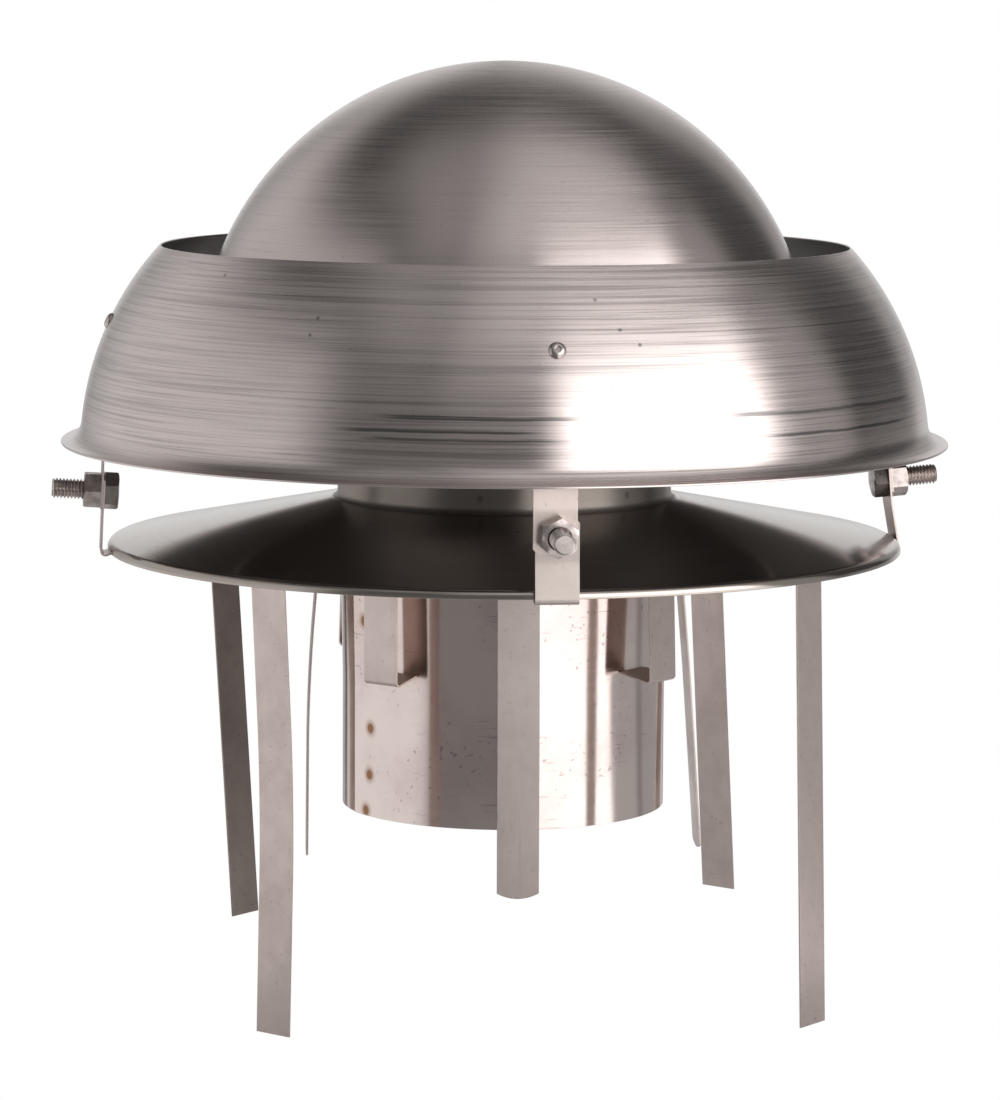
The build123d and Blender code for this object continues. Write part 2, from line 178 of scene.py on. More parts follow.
class Shader:
    """A node tree built up from values, colours and vectors."""

    def __init__(self, owner: bpy.types.Material | bpy.types.World) -> None:
        """Starts the owner's node tree empty."""
        owner.use_nodes = True
        self.tree = owner.node_tree
        self.tree.nodes.clear()

    def node(self, kind: str, settings: dict[str, Any] | None = None, **inputs: Any) -> bpy.types.Node:
        """Adds a node.

        Args:
            kind: the node's type.
            settings: its properties, which are set first.
            inputs: values or wires by socket name, with _ for a space, or in0, in1 by place.

        Returns:
            The node.
        """
        made = self.tree.nodes.new(kind)
        for key, value in (settings or {}).items():
            setattr(made, key, value)
        for key, value in inputs.items():
            by_place = key[:2] == "in" and key[2:].isdigit()
            socket = made.inputs[int(key[2:])] if by_place else made.inputs[key.replace("_", " ")]
            if isinstance(value, Wire):
                self.tree.links.new(value.socket, socket)
            else:
                socket.default_value = value
        return made

    def wire(self, node: bpy.types.Node, output: str | int = 0) -> Wire:
        """One of a node's outputs."""
        return Wire(self, node.outputs[output])

    def maths(self, operation: str, *values: Number) -> Wire:
        """The result of a Math node.

        Args:
            operation: the Math node's operation.
            values: its inputs in order.

        Returns:
            The result's wire.
        """
        inputs = {f"in{place}": value for place, value in enumerate(values)}
        return self.wire(self.node("ShaderNodeMath", {"operation": operation}, **inputs))

    def step(self, value: Number, low: float, high: float) -> Wire:
        """A smooth step of a value.

        Args:
            value: what is stepped.
            low: where the result is 0.
            high: where the result is 1, which may be below low.

        Returns:
            The result's wire.
        """
        settings = {"interpolation_type": "SMOOTHSTEP"}
        low, high, start, end = (low, high, 0.0, 1.0) if low < high else (high, low, 1.0, 0.0)
        ranges = {"Value": value, "From_Min": low, "From_Max": high, "To_Min": start, "To_Max": end}
        return self.wire(self.node("ShaderNodeMapRange", settings, **ranges))

    def ramp(self, value: Number, ramp: Ramp) -> Wire:
        """A smooth step of a value, times the ramp's amount."""
        stepped = self.step(value, ramp.low, ramp.high)
        return stepped if ramp.amount == 1.0 else stepped * ramp.amount

    def blend(self, factor: Number, first: Wire | Colour, second: Wire | Colour) -> Wire:
        """A mix of two colours.

        Args:
            factor: the share of the second.
            first: the first colour.
            second: the second colour.

        Returns:
            The mixed colour's wire.
        """
        ends = [value if isinstance(value, Wire) else (*value, 1.0) for value in (first, second)]
        settings = {"data_type": "RGBA"}
        return self.wire(self.node("ShaderNodeMix", settings, in0=factor, in6=ends[0], in7=ends[1]), 2)

    def apart(self, vector: Wire) -> tuple[Wire, Wire, Wire]:
        """A vector's x, y and z."""
        node = self.node("ShaderNodeSeparateXYZ", in0=vector)
        return self.wire(node, 0), self.wire(node, 1), self.wire(node, 2)

    def place(self) -> Wire:
        """The object coordinates."""
        return self.wire(self.node("ShaderNodeTexCoord"), "Object")

    def vector(self, x: Number, y: Number, z: Number) -> Wire:
        """A vector from three values."""
        return self.wire(self.node("ShaderNodeCombineXYZ", in0=x, in1=y, in2=z))

    def distance(self, first: Wire, second: Point) -> Wire:
        """How far a place is from a point."""
        node = self.node("ShaderNodeVectorMath", {"operation": "DISTANCE"}, in0=first, in1=second)
        return self.wire(node, 1)

    def noise(self, vector: Wire, scale: float, detail: float, w: Number | None = None) -> Wire:
        """A noise value from 0 to 1.

        Args:
            vector: where it is read.
            scale: its scale.
            detail: its octaves.
            w: the fourth coordinate, if it is read in four dimensions.

        Returns:
            The value's wire.
        """
        settings = {"noise_dimensions": "3D" if w is None else "4D"}
        inputs: dict[str, Any] = {"Vector": vector, "Scale": scale, "Detail": detail}
        inputs["Roughness"] = NOISE_ROUGHNESS
        if w is not None:
            inputs["W"] = w
        return self.wire(self.node("ShaderNodeTexNoise", settings, **inputs))


@dataclass(frozen=True)
class Steel:
    """Bare stainless steel, and what every finish of it has.

    Attributes:
        name: the material's name.
        slot: the record's slot that it belongs to.
        colour: its base colour, before the pattern.
        roughness: its roughness, before the pattern.
        anisotropy: how much its grain stretches reflections.
        across: which way they stretch, as a share of a full turn.
    """

    name: str
    slot: Slot
    colour: Colour
    roughness: float
    anisotropy: float
    across: float

    def pattern(self, shader: Shader) -> Pattern:
        """The finish's own pattern, as each finish below draws it.

        Args:
            shader: the material's shader.

        Returns:
            The base colour, the roughness, the bump's height and the bump's depth in metres.
        """
        raise NotImplementedError

    def material(self) -> bpy.types.Material:
        """The finish as a material."""
        made = bpy.data.materials.new(self.name)
        shader = Shader(made)
        colour, roughness, height, depth = self.pattern(shader)
        normal = shader.wire(shader.node("ShaderNodeBump", Strength=1.0, Distance=depth, Height=height))
        surface = shader.node(
            "ShaderNodeBsdfPrincipled",
            Base_Color=colour,
            Metallic=1.0,
            Roughness=roughness,
            Normal=normal,
            Anisotropic=self.anisotropy,
            Anisotropic_Rotation=self.across,
        )
        shader.node("ShaderNodeOutputMaterial", Surface=shader.wire(surface))
        LOG.info("finish %s", self.name)
        return made


@dataclass(frozen=True)
class Streak:
    """A dark line left by the spinning tool.

    Attributes:
        height: its height.
        start: the azimuth in degrees where it begins.
        end: the azimuth where it ends.
        half_height: how far it reaches up and down.
        fade: how many degrees to each side its ends take to fade.
        core: the share of half_height that is fully dark.
    """

    height: float
    start: float
    end: float
    half_height: float
    fade: float = 3.0
    core: float = 0.2

    def shade(self, shader: Shader, azimuth: Wire, height: Wire) -> Wire:
        """How dark the streak makes a place.

        Args:
            shader: the material's shader.
            azimuth: the place's azimuth in degrees.
            height: its height.

        Returns:
            The shade, from 0 to 1.
        """
        off = shader.maths("ABSOLUTE", height - self.height)
        begun = shader.step(azimuth, self.start - self.fade, self.start + self.fade)
        ended = shader.step(azimuth, self.end + self.fade, self.end - self.fade)
        ends = begun * ended
        return shader.step(off, self.half_height, self.half_height * self.core) * ends


@dataclass(frozen=True)
class SpunSteel(Steel):
    """Sheet brushed round the axis on a lathe.

    Attributes:
        streaking: how dark its streaks are.
        lining: how dark its turning lines are.
        spots: the places of single pits, dimples and marks.
        spot_size: a spot's radius.
        tool_lines: the dark lines left by the tool.
        inside: the section arc's centre radius and height, and the distance from it within which lies
        the inside face, which is rougher and is painted darker as painted shade.
        neck: the radius within which the sheet is rougher.

    The fields after these are the pattern's scales, ramps and amounts, the same for all spun sheet.
    """

    streaking: float
    lining: float
    spots: tuple[Point, ...] = ()
    spot_size: float = 0.0012
    tool_lines: tuple[Streak, ...] = ()
    inside: Point | None = None
    neck: float = 0.0
    dark: Colour = (0.2, 0.188, 0.182)
    fine_lines: float = 1500.0
    broad_lines: float = 640.0
    change_round: float = 1.5
    cloud_scale: float = 11.0
    pit_scale: float = 420.0
    line_depth: float = 0.00003
    line_ramp: Ramp = Ramp(0.56, 0.36)
    streak_ramp: Ramp = Ramp(0.56, 0.70)
    streak_clouds: Ramp = Ramp(0.42, 0.62)
    pit_ramp: Ramp = Ramp(0.74, 0.79, 0.25)
    spot_core: float = 0.4
    spot_shade: float = 0.7
    tool_shade: float = 1.4
    cloud_waver: float = 0.004
    line_waver: float = 0.002
    line_wander: float = 1.3
    cloud_wander: float = 0.5
    neck_edge: float = 0.002
    neck_wander: float = 1.6
    inside_edge: float = 0.0001
    inside_shade: float = 0.9
    inside_wander: float = 0.5

    def pattern(self, shader: Shader) -> Pattern:
        """Turning lines, dark streaks between them, slow clouds and single marks."""
        where = shader.place()
        x, y, z = shader.apart(where)
        radius = shader.maths("SQRT", x * x + y * y) + AXIS_GAP
        round_x, round_y = x / radius * self.change_round, y / radius * self.change_round
        fine_place = shader.vector(round_x, round_y, radius * self.fine_lines)
        broad_place = shader.vector(round_x, round_y, radius * self.broad_lines)
        fine = shader.noise(fine_place, scale=1.0, detail=2.0, w=z * self.fine_lines)
        broad = shader.noise(broad_place, scale=1.0, detail=4.0, w=z * self.broad_lines)
        cloud = shader.noise(where, self.cloud_scale, detail=4.0)
        lines = fine * 0.5 + broad * 0.5
        streaks = shader.ramp(broad, self.streak_ramp) * shader.ramp(cloud, self.streak_clouds)
        pits = shader.ramp(shader.noise(where, self.pit_scale, detail=1.0), self.pit_ramp)
        shade = streaks * self.streaking + shader.ramp(lines, self.line_ramp) * self.lining + pits
        for spot in self.spots:
            mark = shader.step(shader.distance(where, spot), self.spot_size, self.spot_size * self.spot_core)
            shade = mark * self.spot_shade + shade
        azimuth = shader.maths("ARCTAN2", x, y * -1.0) * DEGREES
        wavy = z + (cloud - NOISE_MEAN) * self.cloud_waver + (broad - NOISE_MEAN) * self.line_waver
        for line in self.tool_lines:
            shade = line.shade(shader, azimuth, wavy) * (self.tool_shade - fine) + shade
        wander = (lines - NOISE_MEAN) * self.line_wander + (cloud - NOISE_MEAN) * self.cloud_wander + 1.0
        wander = shader.step(radius, self.neck + self.neck_edge, self.neck) * self.neck_wander + wander
        if self.inside is not None:
            centre, height, reach = self.inside
            off, rise = radius - centre, z - height
            away = shader.maths("SQRT", off * off + rise * rise)
            # Painted shade: the inside face's colour is darkened because it lies in shade; its roughness is
            # raised as well.
            within = shader.step(away, reach + self.inside_edge, reach - self.inside_edge)
            shade = within * self.inside_shade + shade
            wander = within * self.inside_wander + wander
        base = shader.blend(shader.maths("MINIMUM", shade, 1.0), self.colour, self.dark)
        return base, wander * self.roughness, lines, self.line_depth


@dataclass(frozen=True)
class RolledSteel(Steel):
    """Bright mill-finish sheet with brown heat marks at its spot welds.

    Attributes:
        welds: the places of the spot welds.
    """

    welds: tuple[Point, ...]
    scorch: Colour = (0.27, 0.135, 0.07)
    tint: Colour = (0.62, 0.49, 0.47)
    worn: Colour = (0.2, 0.18, 0.17)
    cloud_scale: float = 18.0
    speck_scale: float = 420.0
    grain_level: float = 40.0
    grain_up: float = 1400.0
    scratch_level: float = 60.0
    scratch_up: float = 760.0
    grain_depth: float = 0.00002
    tint_ramp: Ramp = Ramp(0.4, 0.7, 0.7)
    halo_ramp: Ramp = Ramp(0.0056, 0.0014, 0.6)
    core_ramp: Ramp = Ramp(0.0030, 0.0016, 0.4)
    speck_ramp: Ramp = Ramp(0.66, 0.73)
    speck_clouds: Ramp = Ramp(0.44, 0.58)
    speck_shade: float = 0.5
    scratch_ramp: Ramp = Ramp(0.66, 0.74)
    scratch_clouds: Ramp = Ramp(0.46, 0.58)
    scratch_shade: float = 0.35
    grain_wander: float = 0.14
    cloud_wander: float = 0.12

    def pattern(self, shader: Shader) -> Pattern:
        """A faint rolling grain, warm clouds, specks, scratches and a scorched ring round each spot weld."""
        where = shader.place()
        x, y, z = shader.apart(where)
        cloud = shader.noise(where, self.cloud_scale, detail=4.0)
        grain_place = shader.vector(x * self.grain_level, y * self.grain_level, z * self.grain_up)
        grain = shader.noise(grain_place, scale=1.0, detail=2.0)
        base = shader.blend(shader.ramp(cloud, self.tint_ramp), self.colour, self.tint)
        for weld in self.welds:
            away = shader.distance(where, weld)
            burnt = shader.ramp(away, self.halo_ramp) + shader.ramp(away, self.core_ramp)
            base = shader.blend(burnt, base, self.scorch)
        speck_noise = shader.noise(where, self.speck_scale, detail=1.0)
        specks = shader.ramp(speck_noise, self.speck_ramp) * shader.ramp(cloud, self.speck_clouds)
        scratch_place = shader.vector(x * self.scratch_level, y * self.scratch_level, z * self.scratch_up)
        scratch_noise = shader.noise(scratch_place, scale=1.0, detail=1.0)
        scratches = shader.ramp(scratch_noise, self.scratch_ramp) * shader.ramp(cloud, self.scratch_clouds)
        base = shader.blend(specks * self.speck_shade + scratches * self.scratch_shade, base, self.worn)
        roughness = (grain - NOISE_MEAN) * self.grain_wander + (cloud - NOISE_MEAN) * self.cloud_wander
        return base, roughness + self.roughness, grain * 0.5 + cloud * 0.5, self.grain_depth


@dataclass(frozen=True)
class StripSteel(Steel):
    """Satin strip, mottled and finely grained.

    Attributes:
        mottle: the colour of its darker patches.
    """

    mottle: Colour
    cloud_scale: float = 26.0
    mottle_scale: float = 130.0
    speck_scale: float = 520.0
    grain_level: float = 1300.0
    grain_up: float = 40.0
    grain_depth: float = 0.00002
    cloud_ramp: Ramp = Ramp(0.35, 0.7, 0.45)
    speck_ramp: Ramp = Ramp(0.68, 0.75, 0.5)
    mottling: float = 0.5
    cloud_wander: float = 0.2
    grain_wander: float = 0.12
    grain_height: float = 0.4
    mottle_height: float = 0.6

    def pattern(self, shader: Shader) -> Pattern:
        """A grain along the strip, mottling and small dark specks."""
        where = shader.place()
        x, y, z = shader.apart(where)
        cloud = shader.noise(where, self.cloud_scale, detail=5.0)
        mottle = shader.noise(where, self.mottle_scale, detail=4.0)
        grain_place = shader.vector(x * self.grain_level, y * self.grain_level, z * self.grain_up)
        grain = shader.noise(grain_place, scale=1.0, detail=2.0)
        specks = shader.ramp(shader.noise(where, self.speck_scale, detail=1.0), self.speck_ramp)
        shade = shader.ramp(cloud, self.cloud_ramp) + (mottle - NOISE_MEAN) * self.mottling + specks
        base = shader.blend(shade, self.colour, self.mottle)
        roughness = (cloud - NOISE_MEAN) * self.cloud_wander + (grain - NOISE_MEAN) * self.grain_wander
        height = grain * self.grain_height + mottle * self.mottle_height
        return base, roughness + self.roughness, height, self.grain_depth


@dataclass(frozen=True)
class TurnedSteel(Steel):
    """Bolts, nuts and rivets, dulled in patches."""

    dull: Colour = (0.34, 0.30, 0.28)
    patch_scale: float = 210.0
    patch_ramp: Ramp = Ramp(0.4, 0.75)
    patch_wander: float = 0.3
    patch_depth: float = 0.00003

    def pattern(self, shader: Shader) -> Pattern:
        """Fine dull patches."""
        patch = shader.noise(shader.place(), self.patch_scale, detail=4.0)
        base = shader.blend(shader.ramp(patch, self.patch_ramp), self.colour, self.dull)
        return base, (patch - NOISE_MEAN) * self.patch_wander + self.roughness, patch, self.patch_depth


def arc(centre: tuple[float, float], radius: float, start: float, end: float, steps: int) -> Section:
    """Points along an arc in a section.

    Args:
        centre: its centre's radius and height.
        radius: its radius.
        start: the first point's angle in degrees above the outward direction.
        end: the last point's angle.
        steps: how many pieces it has.

    Returns:
        The points.
    """
    turns = [math.radians(start + (end - start) * place / steps) for place in range(steps + 1)]
    return [(centre[0] + radius * math.cos(turn), centre[1] + radius * math.sin(turn)) for turn in turns]


def rounded(points: Section, radii: Sequence[float], steps: int = 10) -> Section:
    """A polyline with its inner corners rounded.

    Args:
        points: its corners.
        radii: a radius for each corner but the ends.
        steps: how many pieces each rounding has.

    Returns:
        The points.
    """
    path = [Vector(points[0])]
    for before, corner, after, radius in zip(points, points[1:], points[2:], radii):
        here = Vector(corner)
        back, on = (Vector(before) - here).normalized(), (Vector(after) - here).normalized()
        half = back.angle(on) / 2
        reach = radius / math.tan(half)
        centre = here + (back + on).normalized() * (radius / math.sin(half))
        first, last = here + back * reach - centre, here + on * reach - centre
        start = math.atan2(first.y, first.x)
        sweep = math.remainder(math.atan2(last.y, last.x) - start, math.tau)
        turns = [start + sweep * place / steps for place in range(steps + 1)]
        path += [centre + Vector((math.cos(turn), math.sin(turn))) * radius for turn in turns]
    path.append(Vector(points[-1]))
    return [(point.x, point.y) for point in path]


def sheet_section(path: Section, thickness: float, closed: bool = True) -> Section:
    """The section of a sheet whose left face follows a path, with its free ends rounded.

    Args:
        path: the face's points in order.
        thickness: the sheet's thickness, to the right of the path.
        closed: whether both ends are free, or the first lies on the axis.

    Returns:
        The section's points, round the sheet.
    """
    points = [Vector(point) for point in path]
    ways = [(after - before).normalized() for before, after in zip(points, points[1:])]
    sides = []
    for place in range(len(points)):
        way = (ways[max(place - 1, 0)] + ways[min(place, len(ways) - 1)]).normalized()
        lean = max(way.dot(ways[min(place, len(ways) - 1)]), LEAST_LEAN)
        sides.append(Vector((way.y, -way.x)) / lean)
    other = [point + side * thickness for point, side in zip(points, sides)]
    ease = thickness * EDGE_EASE
    points[-1] -= ways[-1] * ease
    other[-1] -= ways[-1] * ease
    end = Vector(path[-1])
    tip = [end + sides[-1] * ease, end + sides[-1] * (thickness - ease)]
    if not closed:
        return [tuple(point) for point in (*points, *tip, *reversed(other))]
    start = points[0].copy()
    foot = [start + sides[0] * (thickness - ease), start + sides[0] * ease]
    points[0] += ways[0] * ease
    other[0] += ways[0] * ease
    return [tuple(point) for point in (*points, *tip, *reversed(other), *foot)]


@dataclass
class Piece:
    """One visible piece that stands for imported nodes.

    Attributes:
        name: its name.
        steel: its finish.
        stands_for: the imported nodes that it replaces.
        sharp: the angle in degrees above which an edge stays sharp.
    """

    name: str
    steel: Steel
    stands_for: tuple[str, ...]
    sharp: float = 40.0
    materials: ClassVar[dict[str, bpy.types.Material]] = {}

    def shape(self) -> bmesh.types.BMesh:
        """The piece's mesh in the frame."""
        raise NotImplementedError

    def smooth(self, data: bpy.types.Mesh) -> None:
        """Shades the mesh smooth, but for its sharp edges."""
        data.shade_smooth()
        data.set_sharp_from_angle(angle=math.radians(self.sharp))

    def build(self) -> bpy.types.Object:
        """Makes the piece and ties it to the frame."""
        mesh = self.shape()
        bmesh.ops.recalc_face_normals(mesh, faces=mesh.faces)
        data = bpy.data.meshes.new(self.name)
        mesh.to_mesh(data)
        mesh.free()
        self.smooth(data)
        made = bpy.data.objects.new(self.name, data)
        bpy.context.scene.collection.objects.link(made)
        if self.steel.name not in self.materials:
            self.materials[self.steel.name] = self.steel.material()
        data.materials.append(self.materials[self.steel.name])
        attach(made, BODY)
        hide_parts(*self.stands_for)
        LOG.info("%s: %d faces", self.name, len(data.polygons))
        return made


def turned(section: Section, closed: bool, steps: int = 288) -> bmesh.types.BMesh:
    """A section turned round the Z axis.

    Args:
        section: radii and heights.
        closed: whether its last point joins its first.
        steps: how many steps the full turn has.

    Returns:
        The mesh.
    """
    mesh = bmesh.new()
    points = [mesh.verts.new((radius, 0.0, height)) for radius, height in section]
    for first, second in zip(points, points[1:]):
        mesh.edges.new((first, second))
    if closed:
        mesh.edges.new((points[-1], points[0]))
    bmesh.ops.spin(
        mesh,
        geom=[*mesh.verts, *mesh.edges],
        cent=(0, 0, 0),
        axis=(0, 0, 1),
        angle=math.tau,
        steps=steps,
        use_merge=True,
        use_duplicate=False,
    )
    bmesh.ops.remove_doubles(mesh, verts=mesh.verts, dist=MERGE)
    return mesh


@dataclass
class Dome(Piece):
    """The pressed cap: a hemisphere with a short straight edge.

    Attributes:
        radius: its outside radius.
        centre: its centre's height.
        edge: the straight edge's height.
        steps: how many pieces its arc has.
    """

    radius: float = 0.1421
    centre: float = 0.2837
    edge: float = 0.006
    steps: int = 110

    def shape(self) -> bmesh.types.BMesh:
        """The cap, turned."""
        path = arc((0.0, self.centre), self.radius, 90.0, 0.0, self.steps)
        path.append((self.radius, self.centre - self.edge))
        section = sheet_section(path, SHEET, closed=False)
        section[0] = (0.0, section[0][1])
        section[-1] = (0.0, section[-1][1])
        return turned(section, closed=False)


@dataclass
class HoodRing(Piece):
    """The spun ring: an arc in section with a lip rolled out at its mouth.

    Attributes:
        top_radius: the radius of its upper opening.
        top: that opening's height.
        mouth_radius: the radius where the lip ends.
        lip: the lip's lowest height.
        lip_radius: the lip's inside radius.
        curve_radius: the arc's outside radius.
        curve_steps: how many pieces the arc has.
        lip_steps: how many the lip has.
    """

    top_radius: float = 0.1588
    top: float = 0.3415
    mouth_radius: float = 0.2047
    lip: float = 0.2511
    lip_radius: float = 0.0095
    curve_radius: float = 0.1403
    curve_steps: int = 60
    lip_steps: int = 18

    def shape(self) -> bmesh.types.BMesh:
        """The ring, turned."""
        lip_centre = Vector((self.mouth_radius, self.lip + SHEET + self.lip_radius))
        top = Vector((self.top_radius, self.top))
        first, second = self.lip_radius + self.curve_radius, self.curve_radius
        span = top - lip_centre
        turn = math.acos((first**2 + span.length**2 - second**2) / (2 * first * span.length))
        bearing = math.atan2(span.y, span.x) + turn
        centre = lip_centre + Vector((math.cos(bearing), math.sin(bearing))) * first
        start = math.degrees(math.atan2(top.y - centre.y, top.x - centre.x))
        end = math.degrees(math.atan2(lip_centre.y - centre.y, lip_centre.x - centre.x))
        path = arc(tuple(centre), self.curve_radius, start, end, self.curve_steps)
        path += arc(tuple(lip_centre), self.lip_radius, 180.0 + end, 270.0, self.lip_steps)[1:]
        return turned(sheet_section(path, SHEET), closed=True)


@dataclass
class Skirt(Piece):
    """The shallow cone with its rim turned down and its neck drawn up.

    Attributes:
        rim_radius: its rim's outside radius.
        rim: its rim's height.
        rim_turn: how far the rim is turned down.
        rim_fillet: the rounding at the rim, inside.
        slope: the cone's slope in degrees.
        neck_bore: the neck's inside radius.
        neck_height: how far the neck is drawn up.
        neck_fillet: the rounding at the neck's foot, inside.
    """

    rim_radius: float = 0.1837
    rim: float = 0.2016
    rim_turn: float = 0.00275
    rim_fillet: float = 0.0025
    slope: float = 10.8
    neck_bore: float = 0.0765
    neck_height: float = 0.0212
    neck_fillet: float = 0.0039

    def shape(self) -> bmesh.types.BMesh:
        """The skirt, turned."""
        fall = math.tan(math.radians(self.slope))
        corner = self.rim + self.rim_turn
        neck_foot = corner + (self.rim_radius - self.neck_bore) * fall
        points = [
            (self.rim_radius - SHEET, self.rim),
            (self.rim_radius - SHEET, corner + SHEET * fall),
            (self.neck_bore, neck_foot),
            (self.neck_bore, neck_foot + self.neck_height),
        ]
        path = rounded(points, (self.rim_fillet, self.neck_fillet))
        return turned(sheet_section(path, SHEET), closed=True)


@dataclass(kw_only=True)
class Eased(Piece):
    """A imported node's own shape with its edges eased.

    Attributes:
        source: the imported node.
        ease: how far each side of an edge is cut back.
        level: the angle in degrees below which neighbouring faces are one.
        rows: how many faces an eased edge has across it.
    """

    source: bpy.types.Object
    ease: float = 0.00012
    level: float = 0.5
    rows: int = 2

    def shape(self) -> bmesh.types.BMesh:
        """The node's mesh, merged, with its sharp edges bevelled."""
        mesh = bmesh.new()
        mesh.from_mesh(self.source.data)
        bmesh.ops.remove_doubles(mesh, verts=mesh.verts, dist=MERGE)
        level = math.radians(self.level)
        bmesh.ops.dissolve_limit(mesh, angle_limit=level, verts=mesh.verts, edges=mesh.edges)
        sharp = math.radians(self.sharp)
        edges = [edge for edge in mesh.edges if edge.is_manifold and edge.calc_face_angle() > sharp]
        bmesh.ops.bevel(
            mesh,
            geom=edges,
            offset=self.ease,
            offset_type="OFFSET",
            segments=self.rows,
            profile=0.5,
            affect="EDGES",
            material=-1,
            clamp_overlap=True,
        )
        return mesh

    def smooth(self, data: bpy.types.Mesh) -> None:
        """Shades the mesh so that its flat faces stay flat beside their eased edges."""
        data.shade_smooth()
        around: list[list[Vector]] = [[] for _ in data.vertices]
        for face in data.polygons:
            for vertex in face.vertices:
                around[vertex].append(face.normal * face.area)
        limit = math.radians(self.sharp)
        normals = []
        for face in data.polygons:
            for vertex in face.vertices:
                near = [push for push in around[vertex] if push.angle(face.normal, math.pi) < limit]
                normals.append(sum(near, Vector()).normalized())
        data.normals_split_custom_set(normals)


@dataclass(frozen=True)
class ClampPlace:
    """Where a clamp's strips meet, how they lean, and the turns of the hexagons.

    Attributes:
        azimuth: the clamp's azimuth in degrees.
        outset: how far past the skirt's rim the strips meet.
        rise: how far above the rim the bolt is.
        lean: how many degrees the bolt points up.
        head_turn: the bolt head's turn in degrees.
        nut_turn: the nut's turn in degrees.
    """

    azimuth: float
    outset: float
    rise: float
    lean: float
    head_turn: float
    nut_turn: float

    def matrix(self) -> Matrix:
        """The frame whose origin is the clamp's middle, its z out along the bolt."""
        outward = compass(self.azimuth)
        lean = math.radians(self.lean)
        middle = outward * (Skirt.rim_radius + self.outset)
        middle.z = Skirt.rim + self.rise
        along = outward * math.cos(lean) + Vector((0, 0, 1)) * math.sin(lean)
        turn = math.radians(self.azimuth)
        across = Vector((math.cos(turn), math.sin(turn), 0.0))
        up = along.cross(across)
        rotation = Matrix((across, up, along)).transposed().to_4x4()
        return Matrix.Translation(middle) @ rotation


def hexagonal(mesh: bmesh.types.BMesh, flats: float, corner: float, face: float, turn: float) -> None:
    """Draws the outermost points of a turned shape in to a hexagon whose outer face is chamfered.

    Args:
        mesh: the turned shape.
        flats: the width across flats.
        corner: the radius that marks the hexagon's own points.
        face: the outer face's height.
        turn: the hexagon's turn in degrees.
    """
    for vertex in mesh.verts:
        radius = vertex.co.xy.length
        if radius < corner - MERGE:
            continue
        angle = math.degrees(math.atan2(vertex.co.y, vertex.co.x)) - turn
        off = math.radians(angle % HEXAGON_TURN - HEXAGON_TURN / 2)
        reach = flats / 2 / math.cos(off)
        vertex.co.xy *= reach / radius
        drop = (reach - flats / 2) * math.tan(math.radians(CHAMFER))
        if abs(vertex.co.z - face) < NEAR:
            vertex.co.z -= math.copysign(drop, face)


@dataclass(kw_only=True)
class Fastener(Piece):
    """A clamp's hexagon bolt or nut.

    Attributes:
        place: the clamp that it belongs to.
        flats: its width across flats.
        steps: how many steps its full turn has.
    """

    place: ClampPlace
    flats: float = 0.01524
    steps: int = 72

    @property
    def corner(self) -> float:
        """The hexagon's radius at its corners."""
        return self.flats / math.sqrt(3)


@dataclass(kw_only=True)
class Bolt(Fastener):
    """A hexagon bolt with a rolled thread.

    Attributes:
        crest: the thread's outside radius.
        depth: how deep the thread is.
        pitch: how far a turn of the thread climbs.
        length: the shank's length.
        head: the head's height.
        tip: how far the shank's end is chamfered.
        tip_share: the radius of a ring of points within the end's flat, over the crest.
        runout: the height up to which the shank stays plain.
        rows: how many rows of points a turn of the thread has.
    """

    crest: float = 0.00465
    depth: float = 0.00098
    pitch: float = 0.0015875
    length: float = 0.024
    head: float = 0.0065
    tip: float = 0.0009
    tip_share: float = 0.55
    runout: float = 0.002
    rows: int = 12

    def shape(self) -> bmesh.types.BMesh:
        """The bolt, turned, with its thread cut and its head made hexagonal."""
        under = -STRIP_THICK
        face = under - self.head
        head = [(0.0, face), (self.flats * FACE_SHARE, face), (self.corner, face), (self.corner, under)]
        rows = int(self.length / self.pitch * self.rows)
        shank = [(self.crest, under + self.length * row / rows) for row in range(rows + 1)]
        top = under + self.length
        section = [*head, *shank, (self.crest * self.tip_share, top), (0.0, top)]
        mesh = turned(section, closed=False, steps=self.steps)
        hexagonal(mesh, self.flats, self.corner, face, self.place.head_turn)
        for vertex in mesh.verts:
            radius = vertex.co.xy.length
            if abs(radius - self.crest) > NEAR or vertex.co.z < self.runout:
                continue
            turn = math.atan2(vertex.co.y, vertex.co.x) / math.tau
            phase = (vertex.co.z / self.pitch - turn) * math.tau
            cut = self.depth * (0.5 - 0.5 * math.cos(phase))
            blunt = max(self.tip - (top - vertex.co.z), 0.0)
            vertex.co.xy *= min(self.crest - cut, self.crest - blunt) / radius
        bmesh.ops.transform(mesh, matrix=self.place.matrix(), verts=mesh.verts)
        return mesh


@dataclass(kw_only=True)
class Nut(Fastener):
    """A hexagon nut.

    Attributes:
        hole: its hole's radius.
        height: its height.
        lead: the chamfer at the hole's mouth.
    """

    hole: float = 0.0047
    height: float = 0.0077
    lead: float = 0.0006

    def shape(self) -> bmesh.types.BMesh:
        """The nut, turned and made hexagonal."""
        low, high = STRIP_THICK, STRIP_THICK + self.height
        section = [
            (self.hole, low),
            (self.corner, low),
            (self.corner, high),
            (self.flats * FACE_SHARE, high),
            (self.hole + self.lead, high),
            (self.hole, high - self.lead),
        ]
        mesh = turned(section, closed=True, steps=self.steps)
        hexagonal(mesh, self.flats, self.corner, high, self.place.nut_turn)
        bmesh.ops.transform(mesh, matrix=self.place.matrix(), verts=mesh.verts)
        return mesh


